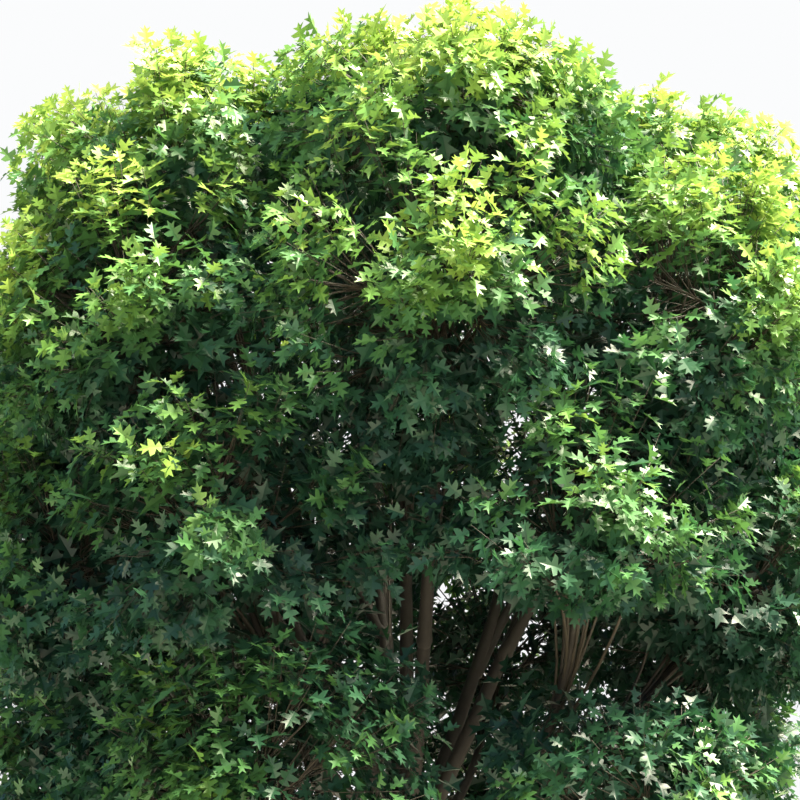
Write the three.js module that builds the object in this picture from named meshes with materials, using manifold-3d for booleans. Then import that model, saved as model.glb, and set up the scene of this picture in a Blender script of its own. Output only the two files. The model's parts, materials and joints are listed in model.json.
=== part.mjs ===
// A pin oak of the dwarf, round-headed kind that is grafted on top of a clear stem.
// The stem has a root flare and ends in a graft union, from which steep and spreading boughs rise.
// Side limbs spring from those boughs, and each limb carries one mass of foliage.
// Millimetres, +Z up. The origin is the middle of the flat cut at ground level.
import * as THREE from "three";
import { mergeVertices } from "three/addons/utils/BufferGeometryUtils.js";
import Module from "manifold-3d";

const wasm = await Module();
wasm.setup();

// Driving dimensions: the crown's outline. Its middle is the height where it is widest, and its
// masses face away from its heart.
const crown = {
  middle: 4100,
  halfWidth: 2700,
  rise: 2200,
  drop: 2740,
  peak: 230,
  peakSpread: 520,
  squareAbove: 2.8,
  squareBelow: 3.4,
  narrowing: 0.1,
  heart: 3200,
};

// Driving dimensions: the stem, its flare at the ground and the swollen union at its top.
const stem = {
  unionHeight: 1850,
  groundRadius: 128,
  topRadius: 98,
  leanX: 36,
  leanY: -22,
  flareHeight: 150,
  flareGrowth: 92,
  roots: 5,
  rootDepth: 0.3,
  rootTurn: 0.6,
  unionRadius: 158,
  unionSquash: 0.86,
  collarReach: 300,
  sides: 16,
  rings: [0, 45, 110, 210, 380, 760, 1250, 1600, 1850],
};

// Driving dimensions: the rings of foliage masses. The first three hang on boughs from the fork,
// which set out at the start angle from the vertical. A ring with a parent is carried by side limbs
// that leave that ring's boughs the from share of the way up. Core is the share of a mass's reach
// that its core fills, and each mass sends out as many sprays as the ring says.
const rings = [
  {
    level: "top",
    masses: 1,
    height: 5860,
    out: 60,
    turn: -90,
    limbRadius: 46,
    start: 3,
    core: 0.75,
    sprays: 16,
  },
  {
    level: "upper",
    masses: 6,
    height: 5340,
    out: 1620,
    turn: -76,
    limbRadius: 44,
    start: 27,
    core: 0.75,
    sprays: 16,
  },
  {
    level: "skirt",
    masses: 6,
    height: 2080,
    out: 1820,
    turn: -108,
    limbRadius: 40,
    start: 66,
    core: 0.75,
    sprays: 13,
  },
  {
    level: "middle",
    masses: 8,
    height: 4240,
    out: 2060,
    turn: -90,
    limbRadius: 33,
    parent: "upper",
    from: 0.3,
    core: 0.75,
    sprays: 16,
  },
  {
    level: "lower",
    masses: 8,
    height: 3180,
    out: 2000,
    turn: -112,
    limbRadius: 31,
    parent: "skirt",
    from: 0.24,
    core: 0.75,
    sprays: 16,
  },
];
const seatJitter = { turn: 5, height: 110, out: 90 };

// Limbs: their bend, and the collars that side limbs and boughs spring from.
const limbForm = {
  pull: 0.42,
  sides: 5,
  runs: 5,
  collarClear: 26,
  collarSpacing: 0.09,
  collarFlare: 1.25,
  forkFlare: 1.5,
  collarRim: 1.04,
};

// How a mass fills its space: all lengths are measured from its seat, the middle of the mass.
const mass = {
  sprayLength: 400,
  sprayWidth: 0.9,
  sprayThickness: 0.035,
  fullReach: 1220,
  inwardReach: 260,
  inwardUntil: 0.12,
  outwardFrom: 0.62,
  coreRoughness: 0.07,
  coreSpread: 0.5,
  coreStep: 0.1,
  twigRadius: 11,
  twigTip: 5,
  twigsFrom: 0.55,
  twigIntoSpray: 0.3,
  bareFrom: 0.85,
  stemRadius: 17,
  limbEnd: 460,
  coreMargin: 60,
  spread: 128,
  droop: 0.12,
  roll: 90,
  drawIn: 0.05,
  leastShare: 0.7,
};

// On one side the crown is open between its skirt and the masses above: there the skirt reaches up
// only so far, and the ring above reaches down only so far.
const opening = { azimuth: -62, reach: { lower: -280, skirt: 240 }, shut: 0.78, wide: 0.95 };

const neighbourGap = 14;
const jointGap = 0.3;
const weld = 0.2;
const limbMargin = 14;
const outlineSlack = 0.02;
const halvings = 24;
const layoutSeed = 611;
const growthSeed = 100;
const goldenAngle = Math.PI * (3 - Math.sqrt(5));

const radians = THREE.MathUtils.degToRad;
const lerp = THREE.MathUtils.lerp;
const up = new THREE.Vector3(0, 0, 1);
const point = (x, y, z) => new THREE.Vector3(x, y, z);
const onTurn = (azimuth, out, height) =>
  point(out * Math.cos(azimuth), out * Math.sin(azimuth), height);

// Numbers from 0 to 1 that are the same on every run.
function randomStream(start) {
  let state = Math.imul(start + 1, 2654435761) >>> 0;
  return () => {
    state = (Math.imul(state, 1664525) + 1013904223) >>> 0;
    return state / 4294967296;
  };
}

// Below 1 inside the crown, 1 on its outline.
function crownFill(p) {
  const out = Math.hypot(p.x, p.y);
  const above = p.z - crown.middle;
  const peak = crown.peak * Math.exp(-((out / crown.peakSpread) ** 2));
  const level = above > 0 ? above / (crown.rise + peak) : -above / crown.drop;
  const width = crown.halfWidth * (above > 0 ? 1 : 1 - crown.narrowing * level);
  const square = above > 0 ? crown.squareAbove : crown.squareBelow;
  return (out / width) ** square + level ** square;
}

// The seats of the masses, with their rings.
function plantSeats() {
  const random = randomStream(layoutSeed);
  return rings.flatMap((ring) =>
    Array.from({ length: ring.masses }, (_, i) => {
      const jitter = () => 2 * random() - 1;
      const azimuth =
        radians(ring.turn + seatJitter.turn * jitter()) + (i * 2 * Math.PI) / ring.masses;
      const height = ring.height + (ring.masses > 1 ? seatJitter.height * jitter() : 0);
      const out = ring.out + (ring.masses > 1 ? seatJitter.out * jitter() : 0);
      const label = ring.masses > 1 ? `${ring.level}_${i + 1}` : ring.level;
      return { ring, azimuth, label, middle: onTurn(azimuth, out, height) };
    }),
  );
}
const seats = plantSeats();

// The stem's middle line leans a little on its way up.
const stemAxis = (z) => {
  const share = z / stem.unionHeight;
  return point(stem.leanX * share * share, stem.leanY * share, z);
};
const union = stemAxis(stem.unionHeight);

// A limb is a smooth line with a radius at each end.
const limbLine = (start, heading, end) =>
  new THREE.QuadraticBezierCurve3(
    start,
    start.clone().addScaledVector(heading, limbForm.pull * start.distanceTo(end)),
    end,
  );

// A limb sets out from its collar's face, and ends where it enters its mass.
function limbFrom(collar, seat) {
  const start = collar.root.clone().addScaledVector(collar.heading, collar.length + jointGap);
  const inward = start.clone().sub(seat.middle).normalize();
  const end = seat.middle.clone().addScaledVector(inward, mass.limbEnd);
  return { seat, line: limbLine(start, collar.heading, end), radius: collar.radius, collars: [] };
}

// A bough leaves the union at its ring's own angle.
function boughTo(seat) {
  const start = radians(seat.ring.start);
  const heading = onTurn(seat.azimuth, Math.sin(start), Math.cos(start));
  const collar = { root: union, heading, length: stem.collarReach, radius: seat.ring.limbRadius };
  forkCollars.push(collar);
  return limbFrom(collar, seat);
}

// A side limb leaves the nearest bough of its parent ring, and stands clear of the bough's side.
function sideLimbTo(seat, boughs) {
  const apart = (bough) => {
    const turn = bough.seat.azimuth - seat.azimuth;
    return Math.abs(Math.atan2(Math.sin(turn), Math.cos(turn)));
  };
  const parents = boughs.filter((bough) => bough.seat.ring.level === seat.ring.parent);
  const parent = parents.reduce((a, b) => (apart(b) < apart(a) ? b : a));
  const share = seat.ring.from + limbForm.collarSpacing * parent.collars.length;
  const root = parent.line.getPoint(share);
  const tangent = parent.line.getTangent(share);
  const heading = seat.middle.clone().sub(root).normalize().add(tangent).normalize();
  const radius = seat.ring.limbRadius;
  const clear = (limbRadiusAt(parent, share) + radius) / Math.sin(heading.angleTo(tangent));
  const collar = { root, heading, length: clear + limbForm.collarClear, radius };
  parent.collars.push(collar);
  return limbFrom(collar, seat);
}

// A limb tapers evenly to the radius of the stem that it hands on to its mass.
const limbRadiusAt = (limb, share) => lerp(limb.radius, mass.stemRadius, share);

const forkCollars = [];
const limbs = [];
for (const seat of seats) {
  limbs.push(seat.ring.parent ? sideLimbTo(seat, limbs) : boughTo(seat));
}

// Points along each limb, for keeping cores, twigs and sprays off it.
const limbSteps = 12;
for (const limb of limbs) limb.points = limb.line.getPoints(limbSteps);

function distanceToSegment(p, a, b) {
  return new THREE.Line3(a, b).closestPointToPoint(p, true, new THREE.Vector3()).distanceTo(p);
}

function touchesLimb(p, margin) {
  const near = (limb, b, i) =>
    distanceToSegment(p, limb.points[i], b) < limbRadiusAt(limb, i / limbSteps) + margin;
  return limbs.some((limb) => limb.points.slice(1).some((b, i) => near(limb, b, i)));
}

// The way out of the crown through a seat.
const outwardOf = ({ middle }) => middle.clone().sub(point(0, 0, crown.heart)).normalize();

// The wall between two masses stands halfway between their seats.
function wallBetween(seat, other) {
  const across = other.middle.clone().sub(seat.middle);
  const distance = across.length() / 2 - neighbourGap / 2;
  return { facing: across.normalize(), distance };
}
for (const seat of seats) {
  seat.walls = seats.filter((other) => other !== seat).map((other) => wallBetween(seat, other));
}

// How far a mass may reach in a direction: to the walls of its neighbours, to the crown's outline,
// to its own full or inward reach, and to the opening above the skirt.
function reachOf(seat, direction) {
  const facing = 0.5 + 0.5 * direction.dot(outwardOf(seat));
  const outer = THREE.MathUtils.smoothstep(facing, mass.inwardUntil, mass.outwardFrom);
  const limits = seat.walls
    .filter((wall) => direction.dot(wall.facing) > 0)
    .map((wall) => wall.distance / direction.dot(wall.facing));
  let reach = Math.min(lerp(mass.inwardReach, mass.fullReach, outer), ...limits);
  const open = opening.reach[seat.ring.level];
  if (open && open * direction.z > 0) {
    reach = Math.min(reach, lerp(reach, open / direction.z, opennessOf(seat)));
  }
  const tipAt = (length) => seat.middle.clone().addScaledVector(direction, length);
  if (crownFill(tipAt(reach)) <= 1) return reach;
  let inside = 0;
  let outside = reach;
  for (let i = 0; i < halvings; i++) {
    const half = (inside + outside) / 2;
    if (crownFill(tipAt(half)) <= 1) inside = half;
    else outside = half;
  }
  return inside;
}

// From 1 on the side where the crown is open above its skirt to 0 on the far side.
function opennessOf(seat) {
  const facing = 0.5 + 0.5 * Math.cos(seat.azimuth - radians(opening.azimuth));
  return THREE.MathUtils.smoothstep(facing, opening.shut, opening.wide);
}

// A point keeps to a mass's space if it is on its side of every wall and inside the crown.
function inSpace(seat, p) {
  const offset = p.clone().sub(seat.middle);
  const keepsWalls = seat.walls.every((wall) => offset.dot(wall.facing) < wall.distance);
  return keepsWalls && crownFill(p) < 1 + outlineSlack;
}

// Booleans work on closed solids whose corners are shared.
function solidOf(geometry) {
  const bare = geometry.clone();
  bare.deleteAttribute("normal");
  bare.deleteAttribute("uv");
  const merged = mergeVertices(bare, 1e-3);
  return new wasm.Manifold(
    new wasm.Mesh({
      numProp: 3,
      vertProperties: new Float32Array(merged.attributes.position.array),
      triVerts: new Uint32Array(merged.index.array),
    }),
  );
}

// Joined parts can seal a hollow between them or leave a scrap apart: only the outer skin is kept.
function fused(parts) {
  const skins = wasm.Manifold.union(parts).simplify(weld).decompose();
  return skins.reduce((a, b) => (b.volume() > a.volume() ? b : a));
}

function geometryOf(solid) {
  const { vertProperties, triVerts } = solid.getMesh();
  const geometry = new THREE.BufferGeometry();
  geometry.setAttribute("position", new THREE.BufferAttribute(vertProperties, 3));
  geometry.setIndex(new THREE.BufferAttribute(triVerts, 1));
  geometry.computeVertexNormals();
  return geometry;
}

// Each corner of a geometry is moved to where the function puts it.
function reshape(geometry, move) {
  const corners = geometry.attributes.position;
  const p = new THREE.Vector3();
  for (let i = 0; i < corners.count; i++) {
    p.fromBufferAttribute(corners, i);
    p.copy(move(p));
    corners.setXYZ(i, p.x, p.y, p.z);
  }
  return geometry;
}

// A round bar bent along a line, tapering from one radius to the other.
function taperedBar(line, radius, endRadius, sides, steps) {
  const bar = new THREE.CylinderGeometry(1, 1, 1, sides, steps);
  const overall = line.getPoint(1).sub(line.getPoint(0)).normalize();
  const aside = Math.abs(overall.z) < 0.9 ? up : point(1, 0, 0);
  return reshape(bar, (p) => {
    const share = p.y + 0.5;
    const along = line.getTangent(share);
    const across = along.clone().cross(aside).normalize();
    const third = across.clone().cross(along);
    const r = lerp(radius, endRadius, share);
    return line
      .getPoint(share)
      .addScaledVector(across, p.x * r)
      .addScaledVector(third, p.z * r);
  });
}

const straight = (a, b) => new THREE.LineCurve3(a, b);

// The collar that a limb springs from: wider at its root, and flat at its end.
function collarSolid({ root, heading, length, radius }, flare) {
  const end = root.clone().addScaledVector(heading, length);
  const rim = radius * limbForm.collarRim;
  return solidOf(taperedBar(straight(root, end), radius * flare, rim, limbForm.sides, 1));
}

function limbSolid({ line, radius, collars }) {
  const bar = solidOf(taperedBar(line, radius, mass.stemRadius, limbForm.sides, limbForm.runs));
  return fused([bar, ...collars.map((collar) => collarSolid(collar, limbForm.collarFlare))]);
}

// The stem: a lathed bar whose foot spreads into root buttresses, a swollen union and its collars.
function stemSolid() {
  const outline = [
    new THREE.Vector2(0, 0),
    ...stem.rings.map((z) => new THREE.Vector2(1, z)),
    new THREE.Vector2(0, stem.unionHeight),
  ];
  const bar = reshape(new THREE.LatheGeometry(outline, stem.sides).rotateX(Math.PI / 2), (p) => {
    const azimuth = Math.atan2(p.y, p.x);
    const fade = Math.exp(-p.z / stem.flareHeight);
    const lobe = Math.cos(stem.roots * azimuth + stem.rootTurn);
    const buttress = 1 + stem.rootDepth * lobe * Math.sqrt(fade);
    const taper = lerp(stem.groundRadius, stem.topRadius, p.z / stem.unionHeight);
    const r = Math.hypot(p.x, p.y) * (taper + stem.flareGrowth * fade * buttress);
    return stemAxis(p.z).add(onTurn(azimuth, r, 0));
  });
  const knob = new THREE.SphereGeometry(stem.unionRadius, 12, 8)
    .rotateX(Math.PI / 2)
    .scale(1, 1, stem.unionSquash)
    .translate(union.x, union.y, union.z);
  const collars = forkCollars.map((collar) => collarSolid(collar, limbForm.forkFlare));
  return fused([solidOf(bar), solidOf(knob), ...collars]);
}

// A spray stands for several leaves: a thin blade with a pointed tip, two lobes and a narrow foot.
const sprayRim = [1, 0.8, 0.56, 0.56, 0.8];
function sprayGeometry(root, along, flat, length) {
  const half = length / 2;
  const across = along.clone().cross(flat).normalize();
  const blade = new THREE.SphereGeometry(1, sprayRim.length, 2).rotateY(Math.PI);
  return reshape(blade, (p) => {
    const isPole = Math.abs(p.y) > 0.5;
    if (isPole) {
      const middle = root.clone().addScaledVector(along, half);
      return middle.addScaledVector(flat, Math.sign(p.y) * mass.sprayThickness * half);
    }
    const turn = Math.atan2(p.z, p.x);
    const corner = Math.round((turn / (2 * Math.PI)) * sprayRim.length);
    const rim = sprayRim[(corner + sprayRim.length) % sprayRim.length];
    return root
      .clone()
      .addScaledVector(along, half + half * rim * Math.cos(turn))
      .addScaledVector(across, half * mass.sprayWidth * rim * Math.sin(turn));
  });
}

const cornersOf = (geometry) =>
  Array.from({ length: geometry.attributes.position.count }, (_, i) =>
    new THREE.Vector3().fromBufferAttribute(geometry.attributes.position, i),
  );

// The directions in which a mass sends its twigs: a golden-angle spiral round its growing axis.
function spiralDirection(axis, index, count, turn) {
  const cosine = 1 - ((index + 0.5) / count) * (1 - Math.cos(radians(mass.spread)));
  const angle = index * goldenAngle + turn;
  const aside = axis.clone().cross(Math.abs(axis.z) < 0.9 ? up : point(1, 0, 0)).normalize();
  const third = axis.clone().cross(aside);
  const sine = Math.sqrt(1 - cosine * cosine);
  return axis
    .clone()
    .multiplyScalar(cosine)
    .addScaledVector(aside, sine * Math.cos(angle))
    .addScaledVector(third, sine * Math.sin(angle));
}

// A lumpy core, smaller than the mass's space all round and clear of every limb. It spreads to the
// sides like a cushion, since foliage lies close under the crown's outline.
function coreSolid(seat, random) {
  const core = mergeVertices(
    new THREE.IcosahedronGeometry(1, 1).deleteAttribute("normal").deleteAttribute("uv"),
    1e-3,
  ).rotateZ(2 * Math.PI * random());
  return solidOf(
    reshape(core, (p) => {
      const direction = p.clone().normalize();
      const rough = mass.coreRoughness * (2 * random() - 1);
      const sideways = 0.5 - Math.abs(direction.dot(outwardOf(seat)));
      const share = seat.ring.core * (1 + rough + mass.coreSpread * sideways);
      const corner = seat.middle.clone().addScaledVector(direction, reachOf(seat, direction) * share);
      while (touchesLimb(corner, mass.coreMargin)) corner.lerp(seat.middle, mass.coreStep);
      return corner;
    }),
  );
}

// A mass: its stem meets the limb's tip, and twigs spread from the stem to the limits of its space.
function massSolid(limb, index) {
  const { seat } = limb;
  const random = randomStream(growthSeed + index);
  const growing = limb.line.getTangent(1);
  const foot = limb.line.getPoint(1).addScaledVector(growing, jointGap);
  const axis = seat.middle.clone().sub(foot).normalize();
  const main = limbLine(foot, growing, seat.middle);
  const parts = [
    coreSolid(seat, random),
    solidOf(taperedBar(main, mass.stemRadius, mass.twigRadius, limbForm.sides, 2)),
  ];
  const turn = 2 * Math.PI * random();
  for (let k = 0; k < seat.ring.sprays; k++) {
    const direction = spiralDirection(axis, k, seat.ring.sprays, turn);
    const reach = reachOf(seat, direction);
    const roll = radians(mass.roll) * (2 * random() - 1);
    const origin = main.getPoint(lerp(mass.twigsFrom, 1, random()));
    const along = direction.clone().addScaledVector(up, -mass.droop).normalize();
    const level = up.clone().addScaledVector(along, -along.z);
    const flat = level.normalize().applyAxisAngle(along, roll);
    // The spray is drawn in until it keeps to the mass's space and clear of the limbs.
    for (let share = 1; share > mass.leastShare; share -= mass.drawIn) {
      const end = seat.middle.clone().addScaledVector(direction, reach * share);
      const root = end.clone().addScaledVector(along, -mass.sprayLength);
      const blade = sprayGeometry(root, along, flat, mass.sprayLength);
      const join = root.clone().addScaledVector(along, mass.sprayLength * mass.twigIntoSpray);
      const twig = straight(origin, join);
      const corners = [...cornersOf(blade), ...twig.getPoints(6)];
      if (!corners.every((p) => inSpace(seat, p))) continue;
      if (corners.some((p) => touchesLimb(p, limbMargin))) continue;
      parts.push(solidOf(blade));
      const isBare = root.distanceTo(seat.middle) > reach * seat.ring.core * mass.bareFrom;
      if (isBare) parts.push(solidOf(taperedBar(twig, mass.twigRadius, mass.twigTip, 3, 1)));
      break;
    }
  }
  return fused(parts);
}

const matter = (color, roughness) =>
  new THREE.MeshStandardMaterial({ color, roughness, metalness: 0 });
const bark = matter(0x6a5f52, 0.9);
const youngBark = matter(0x5b5346, 0.82);
const sunlitLeaf = matter(0x7da63a, 0.45);
const leaf = matter(0x4c7a33, 0.45);
const shadedLeaf = matter(0x2f5a30, 0.5);
const leafOf = { top: sunlitLeaf, upper: sunlitLeaf, middle: leaf, lower: leaf, skirt: shadedLeaf };

function named(name, solid, material) {
  const mesh = new THREE.Mesh(geometryOf(solid), material);
  mesh.name = name;
  return mesh;
}

const tree = new THREE.Group();
tree.add(named("trunk", stemSolid(), bark));

const limbGroup = new THREE.Group();
const foliage = new THREE.Group();
limbs.forEach((limb, index) => {
  const kind = limb.seat.ring.parent ? "limb" : "bough";
  limbGroup.add(named(`${kind}_${limb.seat.label}`, limbSolid(limb), youngBark));
  const leafMaterial = leafOf[limb.seat.ring.level];
  foliage.add(named(`foliage_${limb.seat.label}`, massSolid(limb, index), leafMaterial));
});
tree.add(limbGroup, foliage);

export default tree;
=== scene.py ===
import json
import math

import bmesh
import bpy
import numpy as np
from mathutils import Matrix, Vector, noise

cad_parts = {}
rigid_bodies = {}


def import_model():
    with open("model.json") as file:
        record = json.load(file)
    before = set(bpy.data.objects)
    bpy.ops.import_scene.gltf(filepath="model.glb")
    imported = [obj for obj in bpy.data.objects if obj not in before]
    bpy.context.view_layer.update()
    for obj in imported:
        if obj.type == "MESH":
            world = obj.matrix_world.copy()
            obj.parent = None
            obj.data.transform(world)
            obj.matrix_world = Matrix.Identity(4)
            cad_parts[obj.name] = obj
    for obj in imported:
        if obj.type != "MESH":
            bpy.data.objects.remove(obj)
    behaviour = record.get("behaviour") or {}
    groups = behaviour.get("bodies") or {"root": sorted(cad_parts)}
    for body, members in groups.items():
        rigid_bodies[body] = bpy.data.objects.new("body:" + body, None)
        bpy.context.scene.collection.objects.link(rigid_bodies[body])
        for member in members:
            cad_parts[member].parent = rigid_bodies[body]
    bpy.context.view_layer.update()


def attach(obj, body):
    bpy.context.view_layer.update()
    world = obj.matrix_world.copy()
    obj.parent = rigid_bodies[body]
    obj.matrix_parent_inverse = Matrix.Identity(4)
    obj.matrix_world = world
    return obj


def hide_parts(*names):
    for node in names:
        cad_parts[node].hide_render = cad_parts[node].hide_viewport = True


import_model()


# The layout of the tree, in metres, by the rule of its solids: the seats of the foliage masses in
# five rings, which face away from the crown's heart. Each seat is fed by one limb. It is worked out
# here first because the wood and the leaves both grow from it.
CROWN_HEART = 3.2
STEM_HEIGHT = 1.85
STEM_LEAN = (0.036, -0.022)
COLLAR_REACH = 0.3
COLLAR_CLEAR = 0.026
COLLAR_SPACING = 0.09
LIMB_PULL = 0.42
LIMB_TIP_RADIUS = 0.017
LIMB_END = 0.46
NEIGHBOUR_GAP = 0.014
SEAT_SHIFTS = {"turn": 5, "height": 0.11, "out": 0.09}
UP = np.array([0.0, 0.0, 1.0])
RINGS = [
    {"level": "top", "masses": 1, "height": 5.86, "out": 0.06, "turn": -90, "radius": 0.046, "start": 3},
    {"level": "upper", "masses": 6, "height": 5.34, "out": 1.62, "turn": -76, "radius": 0.044, "start": 27},
    {"level": "skirt", "masses": 6, "height": 2.08, "out": 1.82, "turn": -108, "radius": 0.04, "start": 66},
    {"level": "middle", "masses": 8, "height": 4.24, "out": 2.06, "turn": -90, "radius": 0.033,
     "parent": "upper", "from": 0.3},
    {"level": "lower", "masses": 8, "height": 3.18, "out": 2.0, "turn": -112, "radius": 0.031,
     "parent": "skirt", "from": 0.24},
]


def random_stream(start):
    """Numbers from 0 to 1 that are the same on every run."""
    state = ((start + 1) * 2654435761) & 0xFFFFFFFF
    while True:
        state = (state * 1664525 + 1013904223) & 0xFFFFFFFF
        yield state / 4294967296


def unit(vectors):
    """The vectors, each made one long."""
    vectors = np.asarray(vectors, float)
    return vectors / np.maximum(np.linalg.norm(vectors, axis=-1, keepdims=True), 1e-9)


def on_turn(azimuth, out, height):
    """The point at a distance out from the tree's axis, in a direction round it."""
    return np.array([out * math.cos(azimuth), out * math.sin(azimuth), height])


def curve(start, middle, end, shares):
    """Points on the smooth curve that leaves start towards middle and arrives at end."""
    t = np.asarray(shares, float)[..., None]
    return (1 - t) ** 2 * start + 2 * t * (1 - t) * middle + t**2 * end


def plant_seats():
    """The masses' seats, ring by ring, each with the walls halfway to its neighbours."""
    draw = random_stream(611)
    seats = []
    for ring in RINGS:
        for i in range(ring["masses"]):
            several = ring["masses"] > 1
            turn = math.radians(ring["turn"] + SEAT_SHIFTS["turn"] * (2 * next(draw) - 1))
            azimuth = turn + i * 2 * math.pi / ring["masses"]
            height = ring["height"] + (SEAT_SHIFTS["height"] * (2 * next(draw) - 1) if several else 0)
            out = ring["out"] + (SEAT_SHIFTS["out"] * (2 * next(draw) - 1) if several else 0)
            label = f"{ring['level']}_{i + 1}" if several else ring["level"]
            middle = on_turn(azimuth, out, height)
            seat = {"ring": ring, "azimuth": azimuth, "label": label, "middle": middle}
            seat["outward"] = unit(middle - CROWN_HEART * UP)
            seats.append(seat)
    for seat in seats:
        seat["walls"] = []
        for other in seats:
            across = other["middle"] - seat["middle"]
            if other is not seat:
                seat["walls"].append((unit(across), np.linalg.norm(across) / 2 - NEIGHBOUR_GAP / 2))
    return seats


seats = plant_seats()
union = np.array([STEM_LEAN[0], STEM_LEAN[1], STEM_HEIGHT])


def limb_to(seat, limbs):
    """The limb's own line, from the wood that it springs from to the edge of its mass."""
    ring = seat["ring"]
    if "parent" not in ring:
        lean = math.radians(ring["start"])
        root = union
        heading = on_turn(seat["azimuth"], math.sin(lean), math.cos(lean))
        length = COLLAR_REACH
        parent_radius = math.inf
    else:
        parents = [limb for limb in limbs if limb["seat"]["ring"]["level"] == ring["parent"]]
        parent = min(parents, key=lambda limb: -math.cos(limb["seat"]["azimuth"] - seat["azimuth"]))
        share = ring["from"] + COLLAR_SPACING * parent["children"]
        parent["children"] += 1
        root = curve(*parent["curve"], share)
        start, middle, end = parent["curve"]
        tangent = unit(2 * (1 - share) * (middle - start) + 2 * share * (end - middle))
        heading = unit(unit(seat["middle"] - root) + tangent)
        parent_radius = parent["radius"] + (LIMB_TIP_RADIUS - parent["radius"]) * share
        angle = math.acos(float(heading @ tangent))
        length = (parent_radius + ring["radius"]) / math.sin(angle) + COLLAR_CLEAR
    start = root + heading * length
    end = seat["middle"] + unit(start - seat["middle"]) * LIMB_END
    middle = start + heading * LIMB_PULL * np.linalg.norm(end - start)
    limb = {"seat": seat, "root": root, "radius": ring["radius"], "children": 0}
    limb["parent_radius"] = parent_radius
    limb["curve"] = (start, middle, end)
    return limb


limbs = []
for seat in seats:
    limbs.append(limb_to(seat, limbs))


# Colours and nodes. Every colour is written as it is seen on a screen, and Blender wants it in
# linear light. One function adds each node with its settings, values and links.
def linear(hex_colour):
    channels = [int(hex_colour[i : i + 2], 16) / 255 for i in (1, 3, 5)]
    bright = [c / 12.92 if c <= 0.04045 else ((c + 0.055) / 1.055) ** 2.4 for c in channels]
    return (*bright, 1.0)


def add_node(tree, kind, inputs=None, **settings):
    """A new node. An input is given as a plain value, or as the output that is linked to it."""
    made = tree.nodes.new(kind)
    for name, value in settings.items():
        setattr(made, name, value)
    for name, value in (inputs or {}).items():
        if isinstance(value, bpy.types.NodeSocket):
            tree.links.new(value, made.inputs[name])
        else:
            made.inputs[name].default_value = value
    return made


def new_material(name):
    material = bpy.data.materials.new(name)
    material.use_nodes = True
    material.node_tree.nodes.clear()
    return material, material.node_tree


# The trunk: a young oak stem with a root flare, ending in the knob of the graft union.
# Grey-brown bark, still fairly smooth, that is splitting into long shallow ridges.
TRUNK_SIDES = 72
TRUNK_RINGS = 168
STEM_RADIUS = 0.128
STEM_THINNING = 0.03
FLARE = 0.092
FLARE_HEIGHT = 0.15
BUTTRESSES = 5
BUTTRESS_TURN = 0.6
BUTTRESS_SHARE = 0.3
UNION_RADIUS = 0.158
UNION_HALF_HEIGHT = 0.136
UNION_LUMPS = 0.008
UNION_LUMPS_REACH = 0.16
UNION_BLEND = 8
TRUNK_TOP = STEM_HEIGHT + UNION_HALF_HEIGHT
BARK_RIDGE = 0.0035
RIDGES_AROUND = 5.5
RIDGES_ALONG = 2.2
RIDGE_BEND = 0.35


def tube_form(sides, cuts):
    """A closed round tube one high, cut into rings along its length."""
    form = bmesh.new()
    bmesh.ops.create_cone(form, cap_ends=True, segments=sides, radius1=1, radius2=1, depth=1)
    upright = [edge for edge in form.edges if abs(edge.verts[0].co.z - edge.verts[1].co.z) > 0.5]
    bmesh.ops.subdivide_edges(form, edges=upright, cuts=cuts)
    return form


def ridge(around, height, ridges_around, ridges_along):
    """From -1 in a fissure to 1 on a ridge, on bark whose ridges run along the wood."""
    circle = (math.cos(around) * ridges_around, math.sin(around) * ridges_around)
    place = Vector((*circle, height * ridges_along))
    swing = Vector((noise.noise(place * 0.7), noise.noise(place * 0.7 + Vector((9, 4, 2))), 0))
    bent = place + RIDGE_BEND * swing
    broad = 1 - 2 * abs(noise.noise(bent))
    fine = noise.noise(Vector((place.x * 3, place.y * 3, place.z * 2.4)))
    return 0.7 * (2 * broad - 1) + 0.3 * fine


def trunk_radius(around, height):
    """The bare wood's radius: a tapering stem, its root flare in low buttresses, and the union."""
    fade = math.exp(-height / FLARE_HEIGHT)
    buttress = 1 + BUTTRESS_SHARE * math.cos(BUTTRESSES * around + BUTTRESS_TURN) * math.sqrt(fade)
    wood = STEM_RADIUS - STEM_THINNING * min(height / STEM_HEIGHT, 1) + FLARE * fade * buttress
    from_union = min(abs(height - STEM_HEIGHT) / UNION_HALF_HEIGHT, 1)
    knob = math.sqrt(1 - from_union**2)
    if height > STEM_HEIGHT:
        wood *= knob
    return (wood**UNION_BLEND + (UNION_RADIUS * knob) ** UNION_BLEND) ** (1 / UNION_BLEND)


trunk_form = tube_form(TRUNK_SIDES, TRUNK_RINGS)
for corner in trunk_form.verts:
    share = corner.co.z + 0.5
    height = TRUNK_TOP * share
    around = math.atan2(corner.co.y, corner.co.x)
    near_union = math.exp(-(((height - STEM_HEIGHT) / UNION_LUMPS_REACH) ** 2))
    radius = trunk_radius(around, height)
    lump = noise.noise(Vector((3 * math.cos(around), 3 * math.sin(around), height * 12)))
    relief = BARK_RIDGE * ridge(around, height, RIDGES_AROUND, RIDGES_ALONG)
    relief += UNION_LUMPS * near_union * lump
    radius += relief * min(1, radius / 0.05)
    level = min(height / STEM_HEIGHT, 1)
    corner.co.x = STEM_LEAN[0] * level * level + radius * math.cos(around)
    corner.co.y = STEM_LEAN[1] * level + radius * math.sin(around)
    corner.co.z = height
trunk_mesh = bpy.data.meshes.new("trunk_wood")
trunk_form.to_mesh(trunk_mesh)
trunk_form.free()
trunk_mesh.polygons.foreach_set("use_smooth", [True] * len(trunk_mesh.polygons))
trunk = bpy.data.objects.new("trunk_wood", trunk_mesh)
bpy.context.scene.collection.objects.link(trunk)

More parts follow.
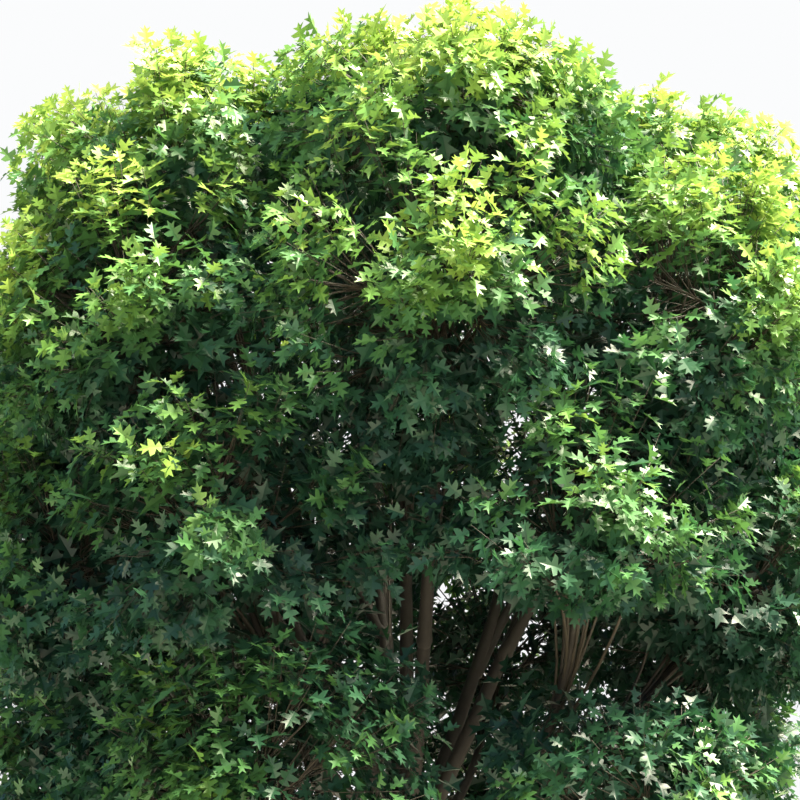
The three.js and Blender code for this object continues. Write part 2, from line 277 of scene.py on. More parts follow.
# Weathered bark, quite matt. Its streaks are some 36 mm wide and 200 mm long, and the patches that
# algae has greened are some 140 mm across.
oak_bark, tree = new_material("young oak bark")
place = add_node(tree, "ShaderNodeTexCoord").outputs["Object"]
stretched = add_node(tree, "ShaderNodeMapping", {"Vector": place, "Scale": (28, 28, 5)}).outputs["Vector"]
streaks = add_node(
    tree,
    "ShaderNodeTexNoise",
    {"Vector": stretched, "Scale": 1, "Detail": 6, "Roughness": 0.6},
)
patches = add_node(tree, "ShaderNodeTexNoise", {"Vector": place, "Scale": 7, "Detail": 3})
brown = add_node(
    tree,
    "ShaderNodeMix",
    {0: streaks.outputs["Fac"], 6: linear("#453b31"), 7: linear("#8f8474")},
    data_type="RGBA",
)
greened = add_node(
    tree,
    "ShaderNodeMapRange",
    {"Value": patches.outputs["Fac"], "From Min": 0.5, "From Max": 0.75, "To Min": 0, "To Max": 0.45},
)
mossy = add_node(
    tree,
    "ShaderNodeMix",
    {0: greened.outputs["Result"], 6: brown.outputs[2], 7: linear("#5f6549")},
    data_type="RGBA",
)
bumps = add_node(
    tree,
    "ShaderNodeBump",
    {"Height": streaks.outputs["Fac"], "Strength": 0.6, "Distance": 0.004},
)
wood_shader = add_node(
    tree,
    "ShaderNodeBsdfPrincipled",
    {"Base Color": mossy.outputs[2], "Roughness": 0.88, "Normal": bumps.outputs["Normal"]},
)
add_node(tree, "ShaderNodeOutputMaterial", {"Surface": wood_shader.outputs["BSDF"]})
trunk_mesh.materials.append(oak_bark)
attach(trunk, "root")
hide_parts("trunk")


# The boughs and side limbs: each one tapering limb of smooth young bark, swollen where it leaves the union
# or its parent bough, in which its root is buried. It runs on into its mass as the mass's main stem. Its
# olive bark is darkened nearly to black by painted shade, the shade the limbs stand in under the crown.
LIMB_SIDES = 12
LIMB_RINGS = 46
LIMB_FLARE = 0.5
LIMB_FLARE_LENGTH = 0.1
LIMB_BURIED = 0.7
LIMB_OPENING = 0.5
LIMB_KNOTS = 0.07
STEM_TIP_RADIUS = 0.011


def whole_line(limb, count):
    """Points evenly spaced from the root inside the parent wood to the seat of the mass."""
    start, middle, end = limb["curve"]
    seat = limb["seat"]["middle"]
    growing = unit(end - middle)
    onward = end + growing * LIMB_PULL * np.linalg.norm(seat - end)
    collar = limb["root"] + (start - limb["root"]) * np.linspace(0, 1, 8)[:, None]
    points = np.vstack(
        [
            collar[:-1],
            curve(start, middle, end, np.linspace(0, 1, 60))[:-1],
            curve(end, onward, seat, np.linspace(0, 1, 20)),
        ]
    )
    along = np.r_[0, np.cumsum(np.linalg.norm(np.diff(points, axis=0), axis=1))]
    even = np.linspace(0, along[-1], count)
    return np.column_stack([np.interp(even, along, points[:, axis]) for axis in range(3)]), even


# Smooth bark with a dull sheen, mottled every 55 mm or so. Its pores stand 14 mm apart, coarser
# than real ones, so that they show.
young_bark, tree = new_material("smooth young oak bark")
place = add_node(tree, "ShaderNodeTexCoord").outputs["Object"]
mottle = add_node(tree, "ShaderNodeTexNoise", {"Vector": place, "Scale": 18, "Detail": 4})
breathing_pores = add_node(tree, "ShaderNodeTexVoronoi", {"Vector": place, "Scale": 70})
# Painted shade: both olive colours are darkened nearly to black, for the shade inside the crown.
olive = add_node(
    tree,
    "ShaderNodeMix",
    {0: mottle.outputs["Fac"], 6: linear("#171410"), 7: linear("#302c24")},
    data_type="RGBA",
)
bumps = add_node(
    tree,
    "ShaderNodeBump",
    {"Height": breathing_pores.outputs["Distance"], "Strength": 0.35, "Distance": 0.002},
)
wood_shader = add_node(
    tree,
    "ShaderNodeBsdfPrincipled",
    {"Base Color": olive.outputs[2], "Roughness": 0.72, "Normal": bumps.outputs["Normal"]},
)
add_node(tree, "ShaderNodeOutputMaterial", {"Surface": wood_shader.outputs["BSDF"]})

for number, limb in enumerate(limbs):
    line, along = whole_line(limb, LIMB_RINGS)
    tangents = unit(np.gradient(line, axis=0))
    aside = UP if abs(tangents[len(line) // 2][2]) < 0.9 else np.array([1.0, 0, 0])
    across = unit(np.cross(tangents, aside))
    third = np.cross(across, tangents)
    limb_form = tube_form(LIMB_SIDES, LIMB_RINGS - 2)
    for corner in limb_form.verts:
        at = min(max(round((corner.co.z + 0.5) * (LIMB_RINGS - 1)), 0), LIMB_RINGS - 1)
        share = along[at] / along[-1]
        around = math.atan2(corner.co.y, corner.co.x)
        radius = limb["radius"] + (STEM_TIP_RADIUS - limb["radius"]) * share
        radius *= 1 + LIMB_FLARE * math.exp(-along[at] / LIMB_FLARE_LENGTH)
        radius = min(radius, LIMB_BURIED * limb["parent_radius"] + LIMB_OPENING * along[at])
        bumpy = noise.noise(Vector((math.cos(around), math.sin(around), along[at] * 9 + 7 * number)))
        radius *= 1 + LIMB_KNOTS * bumpy
        corner.co = line[at] + radius * (math.cos(around) * across[at] + math.sin(around) * third[at])
    bmesh.ops.recalc_face_normals(limb_form, faces=limb_form.faces)
    kind = "limb" if "parent" in limb["seat"]["ring"] else "bough"
    node_name = f"{kind}_{limb['seat']['label']}"
    limb_mesh = bpy.data.meshes.new(f"{node_name}_wood")
    limb_form.to_mesh(limb_mesh)
    limb_form.free()
    limb_mesh.polygons.foreach_set("use_smooth", [True] * len(limb_mesh.polygons))
    limb_mesh.materials.append(young_bark)
    limb_wood = bpy.data.objects.new(f"{node_name}_wood", limb_mesh)
    bpy.context.scene.collection.objects.link(limb_wood)
    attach(limb_wood, "root")
    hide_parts(node_name)


# How far growth may go: to the walls between neighbouring masses, to where the crown stands open
# above its skirt, and to its outline, a square-shouldered ball with a low peak and a narrower foot.
CROWN_MIDDLE = 4.1
CROWN_HALF_WIDTH = 2.7
CROWN_RISE = 2.2
CROWN_DROP = 2.74
CROWN_PEAK = 0.23
CROWN_PEAK_SPREAD = 0.52
CROWN_NARROWING = 0.1
CROWN_SQUARE = {"above": 2.8, "below": 3.4}
FULL_REACH = 1.22
INWARD_REACH = 0.26
FACING_FROM = 0.12
FACING_FULL = 0.62
OPENING = {"azimuth": -62, "lower": -0.28, "skirt": 0.24, "shut": 0.78, "wide": 0.95}
OUTLINE_HALVINGS = 18
GOLDEN_ANGLE = math.pi * (3 - math.sqrt(5))


def smooth_step(values, low, high):
    """From 0 at low to 1 at high, with soft ends."""
    share = np.clip((values - low) / (high - low), 0, 1)
    return share * share * (3 - 2 * share)


def crown_fill(points):
    """Below 1 inside the crown, 1 on its outline."""
    out = np.hypot(points[..., 0], points[..., 1])
    above = points[..., 2] - CROWN_MIDDLE
    peak = CROWN_PEAK * np.exp(-((out / CROWN_PEAK_SPREAD) ** 2))
    level = np.where(above > 0, above / (CROWN_RISE + peak), -above / CROWN_DROP)
    width = CROWN_HALF_WIDTH * np.where(above > 0, 1, 1 - CROWN_NARROWING * level)
    square = np.where(above > 0, CROWN_SQUARE["above"], CROWN_SQUARE["below"])
    return (out / width) ** square + level**square


def reach_of(seat, directions):
    """The reach in each direction, whether the crown's outline stops it, and whether a neighbour does."""
    facing = 0.5 + 0.5 * directions @ seat["outward"]
    reach = INWARD_REACH + (FULL_REACH - INWARD_REACH) * smooth_step(facing, FACING_FROM, FACING_FULL)
    level = OPENING.get(seat["ring"]["level"])
    if level:
        turn = math.cos(seat["azimuth"] - math.radians(OPENING["azimuth"]))
        openness = float(smooth_step(0.5 + 0.5 * turn, OPENING["shut"], OPENING["wide"]))
        towards = level * directions[:, 2] > 0
        limit = level / np.where(towards, directions[:, 2], 1)
        reach = np.where(towards, np.minimum(reach, reach + (limit - reach) * openness), reach)
    to_wall = np.full(len(directions), np.inf)
    for wall, distance in seat["walls"]:
        to_wall = np.minimum(to_wall, distance / np.maximum(directions @ wall, 1e-6))
    at_wall = to_wall < reach
    reach = np.minimum(reach, to_wall)
    inside = np.zeros(len(directions))
    outside = reach.copy()
    at_outline = crown_fill(seat["middle"] + directions * reach[:, None]) > 1
    for _ in range(OUTLINE_HALVINGS):
        half = (inside + outside) / 2
        in_crown = crown_fill(seat["middle"] + directions * half[:, None]) <= 1
        inside = np.where(in_crown, half, inside)
        outside = np.where(in_crown, outside, half)
    return np.where(at_outline, inside, reach), at_outline, at_wall & ~at_outline


def spiral(axis, count, spread, turn):
    """Directions on a golden-angle spiral round an axis, out to the spread angle."""
    index = np.arange(count)
    cosine = 1 - (index + 0.5) / count * (1 - math.cos(math.radians(spread)))
    angle = index * GOLDEN_ANGLE + turn
    aside = unit(np.cross(axis, UP if abs(axis[2]) < 0.9 else np.array([1.0, 0, 0])))
    third = np.cross(axis, aside)
    sine = np.sqrt(1 - cosine**2)
    ways = cosine[:, None] * axis
    ways = ways + (sine * np.cos(angle))[:, None] * aside
    return ways + (sine * np.sin(angle))[:, None] * third


# The twigs of a mass: thin brooms of stems that leave its limb and run up beside it, side twigs
# out to the ends of its clumps, and the leafy shoots that spring from those.
TWIGS = 30
TWIG_SPREAD = 140
BROOM_STEMS = 12
BROOM_STEPS = 9
TWIG_STEPS = 6
SHOOT_STEPS = 3
BROOM_RADII = (0.011, 0.006)
TWIG_RADII = (0.0085, 0.0035)
SHOOT_RADII = (0.0034, 0.0016)
SHOOT_WAYS = 2400
SHOOT_SPREAD = 165
SHOOTS_PER_SQUARE_METRE = [65, 40, 18]
GAP_THINNING = [0.85, 0.3, 0]
SHOOT_LEAVES = [8, 7, 6]
UNDER_OUTLINE = [(0.0, 0.07), (0.1, 0.3), (0.0, 0.0)]
UNDER_GAP = 0.3
SHORT_OF_WALL = 0.5
LEAF_ROOM = -0.04
TWIG_ROOM = 0.12
LEAFY_LENGTH = 0.2
SMALL_CLUMPS = 280
CLUMP_SIZES = [
    {"half_angle": 0.34, "crest": 0.1, "dip": 0.26, "stagger": 0.06},
    {"half_angle": 0.12, "crest": 0.045, "dip": 0.18, "stagger": 0.12},
]
CLUMP_SLOPES = {"above": 0.75, "below": 1.7}
CLUMP_EDGE = 1.3
GAP_EDGE = (0.6, 1.15)
DEEPEST_GAP = 0.55
UNDERSIDE = (-0.8, -0.45)
UNDERSIDE_RELIEF = 0.3
TWIG_ROOTS = (0.2, 1)
TWIG_SHARES = (0.86, 1)
SHORTEST_TWIG = 0.1
TWIG_LEAN = {"limb": 0.3, "own": 0.6, "length": 0.4}
SHOOT_ROOTS = {"furthest": 0.85, "angle": 0.9, "widest": 0.5, "layer": 0.12, "stagger": 0.1}
SHOOT_SAG = 0.09
BROOM_ROOTS = (0.02, 0.7)
BROOM_END = 0.6
BROOM_LEAN = 0.5


def even_ways(count):
    """Directions spread evenly all round."""
    index = np.arange(count)
    rise = 1 - (2 * index + 1) / count
    flat = np.sqrt(1 - rise**2)
    angle = index * GOLDEN_ANGLE
    return np.column_stack([flat * np.cos(angle), flat * np.sin(angle), rise])


clump_rng = np.random.default_rng(77)
crown_heart = np.array([0, 0, CROWN_MIDDLE - 0.3])
clump_middles = [
    np.array([seat["middle"] for seat in seats]) - crown_heart,
    even_ways(SMALL_CLUMPS) + clump_rng.normal(0, 0.04, (SMALL_CLUMPS, 3)),
]
for size, middles in zip(CLUMP_SIZES, clump_middles):
    size["ways"] = unit(middles)
    size["stands_back"] = clump_rng.uniform(0, size["stagger"], len(middles))


def clump_relief(points):
    """How far below the crown's outline its foliage stands, and its gaps: 0 on a clump, 1 between.
    Each mass swells towards a crest, slopes back above it and is undercut below, so that it stands
    out as a shelf, and so do the small clumps on it. The crown's underside is more even."""
    ways = unit(points - crown_heart)
    depth = np.zeros(len(points))
    for size in CLUMP_SIZES:
        nearest = (ways @ size["ways"].T).argmax(axis=1)
        own = size["ways"][nearest]
        sideways = unit(np.cross(UP, own))
        offset = ways - own
        across = (offset * sideways).sum(axis=1)
        above = (offset * np.cross(own, sideways)).sum(axis=1) + size["crest"]
        slope = np.where(above > 0, CLUMP_SLOPES["above"], CLUMP_SLOPES["below"])
        off = np.hypot(across, above * slope) / size["half_angle"]
        depth += size["dip"] * np.minimum(off, CLUMP_EDGE) ** 2 + size["stands_back"][nearest]
    depth *= UNDERSIDE_RELIEF + (1 - UNDERSIDE_RELIEF) * smooth_step(ways[:, 2], *UNDERSIDE)
    return np.minimum(depth, DEEPEST_GAP), smooth_step(off, *GAP_EDGE)


def outline_facing(points, ways):
    """How squarely each way meets the crown's outline at its point, from 0.3 to 1."""
    steps = 0.01 * np.eye(3)
    slope = np.stack([crown_fill(points + step) - crown_fill(points - step) for step in steps], axis=-1)
    return np.clip((unit(slope) * ways).sum(axis=1), 0.3, 1)


def tubes(lines, thick_and_thin, sides):
    """Thin tapering wood along many lines of equally many points: its corners and its triangles."""
    count, steps, _ = lines.shape
    tangents = unit(np.gradient(lines, axis=1))
    steep = np.abs(tangents[:, :1, 2:]) > 0.9
    aside = np.where(steep, np.array([1.0, 0, 0]), UP)
    across = unit(np.cross(tangents, aside))
    third = np.cross(across, tangents)
    around = np.arange(sides) * 2 * math.pi / sides
    ring = np.cos(around)[:, None] * across[:, :, None] + np.sin(around)[:, None] * third[:, :, None]
    radii = np.linspace(*thick_and_thin, steps)
    corners = lines[:, :, None] + radii[:, None, None] * ring
    here = np.arange(sides)
    beside = (here + 1) % sides
    strip = np.vstack(
        [
            np.column_stack([here, beside, here + sides]),
            np.column_stack([beside, beside + sides, here + sides]),
        ]
    )
    tip = (steps - 1) * sides
    walls = np.vstack([strip + step * sides for step in range(steps - 1)])
    ends = [[tip, tip + i, tip + i + 1] for i in range(1, sides - 1)]
    one = np.vstack([walls, ends])
    triangles = one[None] + (np.arange(count) * steps * sides)[:, None, None]
    return corners.reshape(-1, 3), triangles.reshape(-1, 3)


def many_curves(roots, bends, tips, steps):
    """As many smooth curves as there are roots, each with the same number of points."""
    shares = np.linspace(0, 1, steps)
    return np.stack([curve(roots, bends, tips, np.full(len(roots), t)) for t in shares], axis=1)


def grow(limb, number):
    """The lines of a mass's wood, and for each leafy shoot its layer, its way out and its depth."""
    rng = np.random.default_rng(4000 + number)
    seat = limb["seat"]
    start, middle, end = limb["curve"]
    centre = seat["middle"]
    growing = unit(end - middle)
    axis = unit(centre - end)
    onward = end + growing * LIMB_PULL * np.linalg.norm(centre - end)

    ways = spiral(axis, TWIGS, TWIG_SPREAD, rng.uniform(0, 2 * math.pi))
    reach, _, _ = reach_of(seat, ways)
    roots = curve(end, onward, centre, rng.uniform(*TWIG_ROOTS, TWIGS))
    twig_share = rng.uniform(*TWIG_SHARES, TWIGS)
    tips = centre + ways * np.maximum(reach * twig_share, SHORTEST_TWIG)[:, None]
    tips -= unit(tips - crown_heart) * (clump_relief(tips)[0] + TWIG_ROOM)[:, None]
    lean = TWIG_LEAN["limb"] * growing + TWIG_LEAN["own"] * ways
    bends = roots + lean * (TWIG_LEAN["length"] * np.linalg.norm(tips - roots, axis=1))[:, None]
    twig_lines = many_curves(roots, bends, tips, TWIG_STEPS)

    # Shoots stand evenly over the crown's outline, and in a second layer under it. They clothe the
    # mass's open sides most of all near the outline, and fill the space towards its neighbours.
    shoot_ways = spiral(axis, SHOOT_WAYS, SHOOT_SPREAD, rng.uniform(0, 2 * math.pi))
    shoot_reach, at_outline, at_wall = reach_of(seat, shoot_ways)
    limits = centre + shoot_ways * shoot_reach[:, None]
    facing = np.where(at_outline, outline_facing(limits, shoot_ways), 1)
    near_outline = 0.2 + 0.8 * smooth_step(crown_fill(limits), 0.2, 0.7)
    per_way = 2 * math.pi * (1 - math.cos(math.radians(SHOOT_SPREAD))) / SHOOT_WAYS
    share = per_way * shoot_reach**2 / facing * np.where(at_outline, 1, near_outline)
    gap = clump_relief(limits)[1]
    chosen = []
    for kind, density in enumerate(SHOOTS_PER_SQUARE_METRE):
        chance = density * share * (1 - GAP_THINNING[kind] * gap)
        chosen.append(np.flatnonzero((rng.random(SHOOT_WAYS) < chance) & (at_wall == (kind == 2))))
    picked = np.concatenate(chosen)
    layer = np.repeat([0, 1, 2], [len(some) for some in chosen])
    count = len(picked)
    shoot_ways = unit(shoot_ways[picked] + rng.normal(0, 0.03, (count, 3)))
    shoot_reach, at_outline, _ = reach_of(seat, shoot_ways)
    limits = centre + shoot_ways * shoot_reach[:, None]
    nearest, furthest = np.array(UNDER_OUTLINE)[layer].T
    relief, gap = clump_relief(limits)
    relief *= np.where(layer == 2, smooth_step(crown_fill(limits), 0.4, 0.8), 1)
    sunk = LEAF_ROOM + rng.uniform(nearest, furthest) + relief + UNDER_GAP * gap * (layer == 1)
    length_share = np.where(layer == 2, rng.uniform(SHORT_OF_WALL, 1, count), 1)
    shoot_tips = centre + (limits - centre) * length_share[:, None]
    shoot_tips -= unit(limits - crown_heart) * sunk[:, None]
    depth = crown_fill(shoot_tips)
    nearness = shoot_ways @ ways.T
    parent = nearness.argmax(axis=1)
    off = np.arccos(np.clip(nearness.max(axis=1), -1, 1))
    leaving = SHOOT_ROOTS["furthest"] - SHOOT_ROOTS["angle"] * np.minimum(off, SHOOT_ROOTS["widest"])
    leaving -= SHOOT_ROOTS["layer"] * layer
    leaving += rng.uniform(-SHOOT_ROOTS["stagger"], SHOOT_ROOTS["stagger"], count)
    shoot_roots = curve(roots[parent], bends[parent], tips[parent], np.clip(leaving, 0.1, 0.95))
    straight = shoot_tips - shoot_roots
    sag = SHOOT_SAG * np.linalg.norm(straight, axis=1)
    shoot_bends = shoot_roots + straight / 2 - sag[:, None] * (UP + shoot_ways) / 2
    shoot_lines = many_curves(shoot_roots, shoot_bends, shoot_tips, SHOOT_STEPS)

    stems = rng.choice(TWIGS, BROOM_STEMS, replace=False)
    leave = rng.uniform(*BROOM_ROOTS, BROOM_STEMS)
    stem_roots = curve(start, middle, end, leave)
    stem_ends = curve(roots[stems], bends[stems], tips[stems], np.full(BROOM_STEMS, BROOM_END))
    tangent = unit(2 * (1 - leave)[:, None] * (middle - start) + 2 * leave[:, None] * (end - middle))
    span = np.linalg.norm(stem_ends - stem_roots, axis=1)
    stem_bends = stem_roots + tangent * (BROOM_LEAN * span)[:, None]
    stem_lines = many_curves(stem_roots, stem_bends, stem_ends, BROOM_STEPS)
    return {
        "twigs": twig_lines,
        "shoots": shoot_lines,
        "stems": stem_lines,
        "layer": layer,
        "ways": shoot_ways,
        "depth": depth,
        "gap": gap,
        "rng": rng,
    }


# A pin oak leaf: a blade of five to seven pointed lobes cut nearly to the midrib, on a thin stalk.
# Each is a few flat faces in its own outline, folded a little along the midrib and drooping.
# Leaves inside the crown, seen only as shapes in the dark, have the same outline with fewer corners.
LEAF_LENGTHS = [0.105, 0.13, 0.13]
LEAF_STALK = 0.3
LEAF_SIZES = (0.78, 1.12)
YOUNG_LEAVES = {"from": 0.85, "smaller": 0.22}
LEAF_OPENING = {"lowest": 82, "closing": 46, "scatter": 9}
LEAF_HANG = 0.28
HANG_SCATTER = (-0.15, 0.25)
LEAF_FACING = {"up": 0.55, "out": 0.6, "scatter": 0.3}
LEAF_FOLDS = (0.05, 0.5)
LEAF_DROOPS = (0.05, 0.35)
HALF_LEAF = [(0.0, 0.0), (0.27, 0.12), (0.075, 0.27), (0.33, 0.36), (0.43, 0.55), (0.08, 0.56), (0.27, 0.84),
             (0.08, 0.77), (0.0, 1.0), (0.0, 0.48)]
HALF_FACES = [(0, 1, 2), (0, 2, 9), (2, 3, 4), (2, 4, 5), (2, 5, 9), (5, 6, 7), (5, 7, 9), (7, 8, 9)]
PLAIN_HALF = [(0.0, 0.0), (0.29, 0.18), (0.1, 0.32), (0.4, 0.6), (0.11, 0.66), (0.0, 1.0)]
PLAIN_FACES = [(0, 1, 2), (0, 2, 4), (2, 3, 4), (0, 4, 5)]


def leaf_pattern(half, half_faces):
    """Flat corners of one leaf, its length 1 from stalk to tip, and its triangles."""
    left = [(-x, y) for x, y in half]
    stalk = [(-0.012, -LEAF_STALK), (0.012, -LEAF_STALK), (0.0, 0.05)]
    shift = len(half)
    faces = list(half_faces)
    faces += [(a + shift, c + shift, b + shift) for a, b, c in half_faces]
    faces.append((2 * shift, 2 * shift + 1, 2 * shift + 2))
    return np.array(half + left + stalk), np.array(faces)


patterns = [leaf_pattern(HALF_LEAF, HALF_FACES), leaf_pattern(PLAIN_HALF, PLAIN_FACES)]


def leaves_on(growth, wanted, pattern):
    """Corners and triangles of the leaves of some shoots, and the shoot that each leaf stands on."""
    rng = growth["rng"]
    lines = growth["shoots"]
    leaf_corners, leaf_faces = pattern
    per_shoot = np.array(SHOOT_LEAVES)[growth["layer"]] * wanted
    shoot = np.repeat(np.arange(len(lines)), per_shoot)
    rank = np.concatenate([np.arange(n) for n in per_shoot])
    up_shoot = (rank + 0.5) / per_shoot[shoot]
    tip = lines[shoot, -1]
    pointing = unit(lines[shoot, -1] - lines[shoot, -2])
    span = np.minimum(LEAFY_LENGTH, 0.8 * np.linalg.norm(lines[:, -1] - lines[:, 0], axis=1))[shoot]
    foot = tip - pointing * (span * (1 - up_shoot))[:, None]
    aside = unit(np.cross(pointing, np.where(np.abs(pointing[:, 2:]) > 0.9, np.array([1.0, 0, 0]), UP)))
    third = np.cross(pointing, aside)
    around = rank * GOLDEN_ANGLE + rng.uniform(0, 2 * math.pi, len(lines))[shoot]
    around += rng.normal(0, 0.25, len(shoot))
    radial = np.cos(around)[:, None] * aside + np.sin(around)[:, None] * third
    opening = LEAF_OPENING["lowest"] - LEAF_OPENING["closing"] * up_shoot
    opening = np.radians(opening + rng.normal(0, LEAF_OPENING["scatter"], len(shoot)))
    midrib = np.cos(opening)[:, None] * pointing + np.sin(opening)[:, None] * radial
    midrib = unit(midrib - (LEAF_HANG + rng.uniform(*HANG_SCATTER, len(shoot)))[:, None] * UP)
    facing = LEAF_FACING["up"] * UP + LEAF_FACING["out"] * growth["ways"][shoot]
    facing += rng.normal(0, LEAF_FACING["scatter"], (len(shoot), 3))
    normal = unit(facing - (facing * midrib).sum(1)[:, None] * midrib)
    side = np.cross(midrib, normal)
    size = np.array(LEAF_LENGTHS)[growth["layer"]][shoot] * rng.uniform(*LEAF_SIZES, len(shoot))
    size *= 1 - YOUNG_LEAVES["smaller"] * (up_shoot > YOUNG_LEAVES["from"])
    fold = rng.uniform(*LEAF_FOLDS, len(shoot))
    droop = rng.uniform(*LEAF_DROOPS, len(shoot))
    x = leaf_corners[:, 0]
    y = leaf_corners[:, 1]
    lift = fold[:, None] * np.abs(x) - droop[:, None] * np.maximum(y, 0) ** 2
    reach_out = (y + LEAF_STALK)[None, :, None] * midrib[:, None]
    local = x[None, :, None] * side[:, None] + reach_out + lift[:, :, None] * normal[:, None]
    corners = foot[:, None] + size[:, None, None] * local
    triangles = leaf_faces[None] + (np.arange(len(shoot)) * len(leaf_corners))[:, None, None]
    return corners.reshape(-1, 3), triangles.reshape(-1, 3), np.repeat(shoot, len(leaf_faces))


def stacked(parts):
    """The corners and triangles of several parts as those of one."""
    starts = np.cumsum([0] + [len(part[0]) for part in parts[:-1]])
    corners = np.vstack([part[0] for part in parts])
    return corners, np.vstack([part[1] + start for part, start in zip(parts, starts)])


def joined_mesh(name, corners, triangles):
    """One mesh from arrays of corners and triangles."""
    made = bpy.data.meshes.new(name)
    made.vertices.add(len(corners))
    made.vertices.foreach_set("co", corners.astype(np.float32).ravel())
    made.loops.add(3 * len(triangles))
    made.loops.foreach_set("vertex_index", triangles.astype(np.int32).ravel())
    made.polygons.add(len(triangles))
    made.polygons.foreach_set("loop_start", np.arange(len(triangles), dtype=np.int32) * 3)
    made.update(calc_edges=True)
    return made


# Leaf greens, from the old leaves deep in the crown to the youngest at its sunlit top. This is partly real
# and partly painted light: the darker greens are painted shade deep in the crown and in its gaps, and the
# brighter ones are painted sunlight on its top. A leaf is glossy above from its wax, and thin enough to glow
# when the sun is behind it.
LEAF_GREENS_SHADED_TO_SUNLIT = ["#1f3c2f", "#2b4f37", "#40693b", "#5c853f", "#84a64c", "#acc462"]
GLOW_GREENS_SHADED_TO_SUNLIT = ["#2c5836", "#3d6f3c", "#5c8840", "#86a64a", "#acc25c", "#cadb78"]
SUNNY = {"upward": 0.5, "height": 0.6, "outward": 1.6, "layer": 0.3, "gap": 0.5, "scatter": 0.2}
MEAN_DEPTH = 0.68
MIDDLE_TONE = 2.1
TONES_PER_SUNNINESS = 2.2
leaf_materials = []
for step, (green, glow) in enumerate(zip(LEAF_GREENS_SHADED_TO_SUNLIT, GLOW_GREENS_SHADED_TO_SUNLIT)):
    leaf_material, tree = new_material(f"pin oak leaf {step + 1}")
    blade = add_node(
        tree,
        "ShaderNodeBsdfPrincipled",
        {"Base Color": linear(green), "Roughness": 0.4, "Specular IOR Level": 0.36},
    )
    through = add_node(tree, "ShaderNodeBsdfTranslucent", {"Color": linear(glow)})
    leaf_shader = add_node(
        tree,
        "ShaderNodeMixShader",
        {0: 0.2, 1: blade.outputs["BSDF"], 2: through.outputs["BSDF"]},
    )
    add_node(tree, "ShaderNodeOutputMaterial", {"Surface": leaf_shader.outputs["Shader"]})
    leaf_materials.append(leaf_material)

# Last year's wood: dark olive brown and a little shiny, with a mottle of some 70 mm.
twig_bark, tree = new_material("last year's oak twig")
place = add_node(tree, "ShaderNodeTexCoord").outputs["Object"]
mottle = add_node(tree, "ShaderNodeTexNoise", {"Vector": place, "Scale": 14, "Detail": 3})
brown = add_node(
    tree,
    "ShaderNodeMix",
    {0: mottle.outputs["Fac"], 6: linear("#1c1811"), 7: linear("#3a3425")},
    data_type="RGBA",
)
wood_shader = add_node(tree, "ShaderNodeBsdfPrincipled", {"Base Color": brown.outputs[2], "Roughness": 0.6})
add_node(tree, "ShaderNodeOutputMaterial", {"Surface": wood_shader.outputs["BSDF"]})

LEAF_SLOTS = {"top": "leaf_sunlit", "upper": "leaf_sunlit", "middle": "leaf_green", "lower": "leaf_green",
              "skirt": "leaf_shaded"}

for number, limb in enumerate(limbs):
    seat = limb["seat"]
    growth = grow(limb, number)
    rng = growth["rng"]
    wood = [
        tubes(growth["stems"], BROOM_RADII, 5),
        tubes(growth["twigs"], TWIG_RADII, 4),
        tubes(growth["shoots"], SHOOT_RADII, 3),
    ]
    twig_mesh = joined_mesh(f"twigs_{seat['label']}", *stacked(wood))
    twig_mesh.materials.append(twig_bark)
    twig_piece = bpy.data.objects.new(f"twigs_{seat['label']}", twig_mesh)

    # The outer leaves have the full outline, and those under them the plainer one. Each shoot has its own
    # green. A shoot that stands higher, further out and more in the open gets a brighter green, which is
    # painted sunlight. A shoot deeper in or in a gap gets a darker one, which is painted shade.
    wanted = [growth["layer"] == 0, growth["layer"] > 0]
    blades = [leaves_on(growth, some, pattern) for some, pattern in zip(wanted, patterns)]
    leaf_mesh = joined_mesh(f"leaves_{seat['label']}", *stacked(blades))
    shoot_of_face = np.concatenate([blade[2] for blade in blades])
    tips = growth["shoots"][:, -1]
    # How open and sunlit a shoot's place is. It sets the painted sunlight and painted shade in its leaves'
    # green.
    sunniness = SUNNY["upward"] * growth["ways"][:, 2]
    sunniness += SUNNY["height"] * (tips[:, 2] - CROWN_MIDDLE) / CROWN_RISE
    sunniness += (
        SUNNY["outward"] * (growth["depth"] - MEAN_DEPTH)
        - SUNNY["layer"] * growth["layer"]
        - SUNNY["gap"] * growth["gap"]
    )
    sunniness += rng.normal(0, SUNNY["scatter"], len(tips))
    painted_light_tone = np.round(MIDDLE_TONE + TONES_PER_SUNNINESS * sunniness)
    painted_light_tone = np.clip(painted_light_tone, 0, len(LEAF_GREENS_SHADED_TO_SUNLIT) - 1).astype(int)
    for leaf_material in leaf_materials:
        leaf_mesh.materials.append(leaf_material)
    leaf_mesh.polygons.foreach_set("material_index", painted_light_tone[shoot_of_face].astype(np.int32))
    leaf_piece = bpy.data.objects.new(f"leaves_{seat['label']}", leaf_mesh)

    for piece, slot_name in ((twig_piece, "young_bark"), (leaf_piece, LEAF_SLOTS[seat["ring"]["level"]])):
        bpy.context.scene.collection.objects.link(piece)
        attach(piece, "root")
        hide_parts(f"foliage_{seat['label']}")


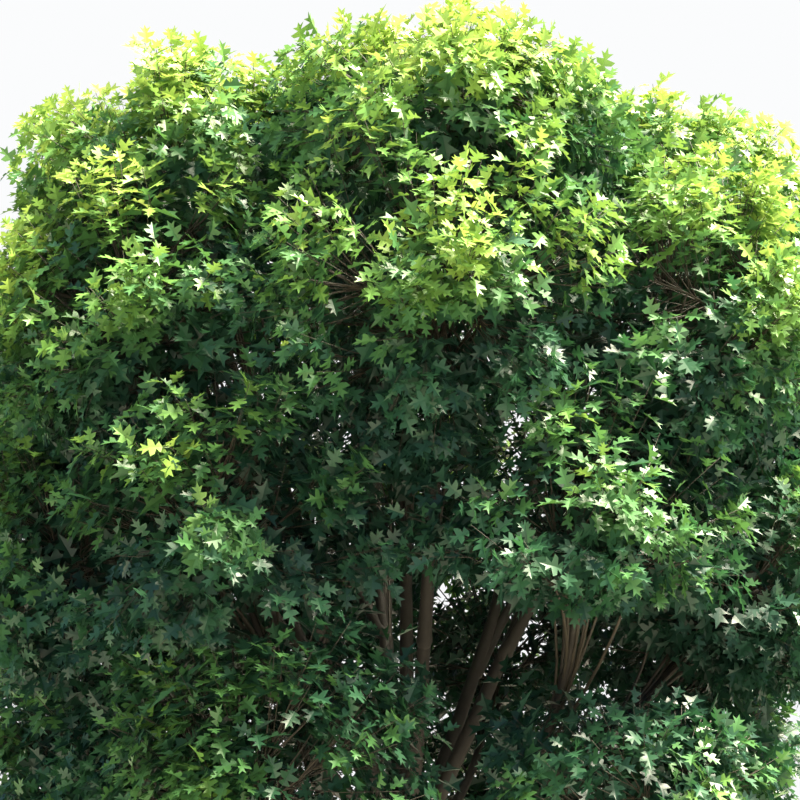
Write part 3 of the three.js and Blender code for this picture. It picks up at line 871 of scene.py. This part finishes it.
# The stage: a plain pale floor under the tree, a pale backdrop with a soft bluish fill, and one
# wide, soft lamp high on the right. It isn't part of the tree.
FLOOR_SIZE = 60
floor_form = bmesh.new()
bmesh.ops.create_grid(floor_form, x_segments=1, y_segments=1, size=FLOOR_SIZE / 2)
floor_mesh = bpy.data.meshes.new("floor")
floor_form.to_mesh(floor_mesh)
floor_form.free()
floor = bpy.data.objects.new("floor", floor_mesh)
bpy.context.scene.collection.objects.link(floor)
floor_paint, tree = new_material("pale floor")
plain = add_node(tree, "ShaderNodeBsdfDiffuse", {"Color": linear("#a29e96")})
add_node(tree, "ShaderNodeOutputMaterial", {"Surface": plain.outputs["BSDF"]})
floor_mesh.materials.append(floor_paint)

LAMP_AZIMUTH = math.radians(-20)
LAMP_HEIGHT = math.radians(59)
sun_light = bpy.data.lights.new("sun", "SUN")
sun_light.energy = 36
sun_light.angle = math.radians(25)
sun_light.color = linear("#fff4dc")[:3]
sun = bpy.data.objects.new("sun", sun_light)
bpy.context.scene.collection.objects.link(sun)
sun_from = Vector(on_turn(LAMP_AZIMUTH, math.cos(LAMP_HEIGHT), math.sin(LAMP_HEIGHT)))
sun.rotation_euler = sun_from.to_track_quat("Z", "Y").to_euler()

world = bpy.data.worlds.new("studio")
bpy.context.scene.world = world
world.use_nodes = True
tree = world.node_tree
tree.nodes.clear()
seen = add_node(tree, "ShaderNodeLightPath").outputs["Is Camera Ray"]
fill = add_node(tree, "ShaderNodeBackground", {"Color": linear("#98c0fd"), "Strength": 0.7})
backdrop = add_node(tree, "ShaderNodeBackground", {"Color": linear("#fbfcfd"), "Strength": 1.0})
both = add_node(tree, "ShaderNodeMixShader", {0: seen, 1: fill.outputs[0], 2: backdrop.outputs[0]})
add_node(tree, "ShaderNodeOutputWorld", {"Surface": both.outputs["Shader"]})

# The camera stands at a person's eye height, ten metres off, and looks up at the crown.
EYE = Vector((0, -10, 1.6))
LOOK_AT = Vector((0, 0, 4.34))
camera_data = bpy.data.cameras.new("camera")
camera_data.lens = 84
camera_data.sensor_width = 36
camera_data.dof.use_dof = False
camera = bpy.data.objects.new("camera", camera_data)
camera.location = EYE
camera.rotation_euler = (LOOK_AT - EYE).to_track_quat("-Z", "Y").to_euler()
bpy.context.scene.collection.objects.link(camera)
bpy.context.scene.camera = camera
bpy.context.scene.view_settings.view_transform = "Standard"
